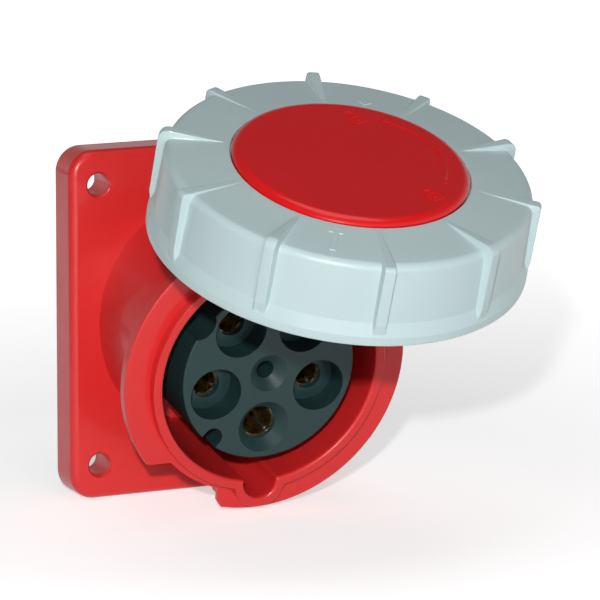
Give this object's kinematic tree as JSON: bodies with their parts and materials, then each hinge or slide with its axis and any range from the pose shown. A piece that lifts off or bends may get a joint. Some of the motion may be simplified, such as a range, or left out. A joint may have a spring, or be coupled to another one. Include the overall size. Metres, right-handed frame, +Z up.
{
  "type": "industrial panel socket",
  "caption": "Angled flange-mounted industrial power socket with a round keyed collar, sleeve contacts and a hinged lid closed by a turning bayonet ring",
  "frame": {"origin": "the middle of the four panel screw holes, on the flange plate's back face, which lies on the panel", "axes": "+X to the right as seen from the front, +Z up, -Y out of the panel towards the user; the socket's own axis runs out along -Y and 12.4 degrees down"},
  "size_m": [0.1152, 0.2068, 0.1411],
  "materials": {
    "red_housing": "smooth moulded, satin gloss",
    "red_disc": "smooth moulded, satin gloss",
    "grey_ring": "fine satin moulded",
    "dark_insulator": "fine satin moulded",
    "contact_brass": "turned, bright",
    "stainless_steel": "drawn, bright",
    "zinc_steel": "zinc plated",
    "black_rubber": "matt moulded",
    "lid_rubber": "matt moulded"
  },
  "bodies": {
    "socket": {"housing": "red_housing", "panel_gasket": "black_rubber", "contact_carrier": "dark_insulator", "carrier_seal": "black_rubber", "terminal_carrier": "dark_insulator", "clamp_screws": "zinc_steel", "carrier_fixing_screws": "zinc_steel", "carrier_joining_screws": "zinc_steel", "hinge_pin": "stainless_steel", "earth_sleeve": "contact_brass", "earth_spring_ring": "stainless_steel", "phase_sleeve_1": "contact_brass", "phase_spring_ring_1": "stainless_steel", "phase_sleeve_2": "contact_brass", "phase_spring_ring_2": "stainless_steel", "phase_sleeve_3": "contact_brass", "phase_spring_ring_3": "stainless_steel", "neutral_sleeve": "contact_brass", "neutral_spring_ring": "stainless_steel", "pilot_sleeve": "contact_brass", "pilot_spring_ring": "stainless_steel"},
    "lid": {"lid_plate": "red_housing", "lid_disc": "red_disc", "lid_gasket": "lid_rubber", "lid_screws": "zinc_steel"},
    "ring": {"locking_ring": "grey_ring"}
  },
  "joints": [
    {"name": "lid_hinge", "type": "hinge", "parent": "socket", "child": "lid", "pos_m": [0, -0.0499, 0.05], "axis": [-1, 0, 0], "range_deg": [-81.2, 37]},
    {"name": "ring_turn", "type": "hinge", "parent": "lid", "child": "ring", "pos_m": [0, -0.11664, 0.06498], "axis": [0, 0.3616, -0.9323], "range_deg": [0, 105]}
  ]
}
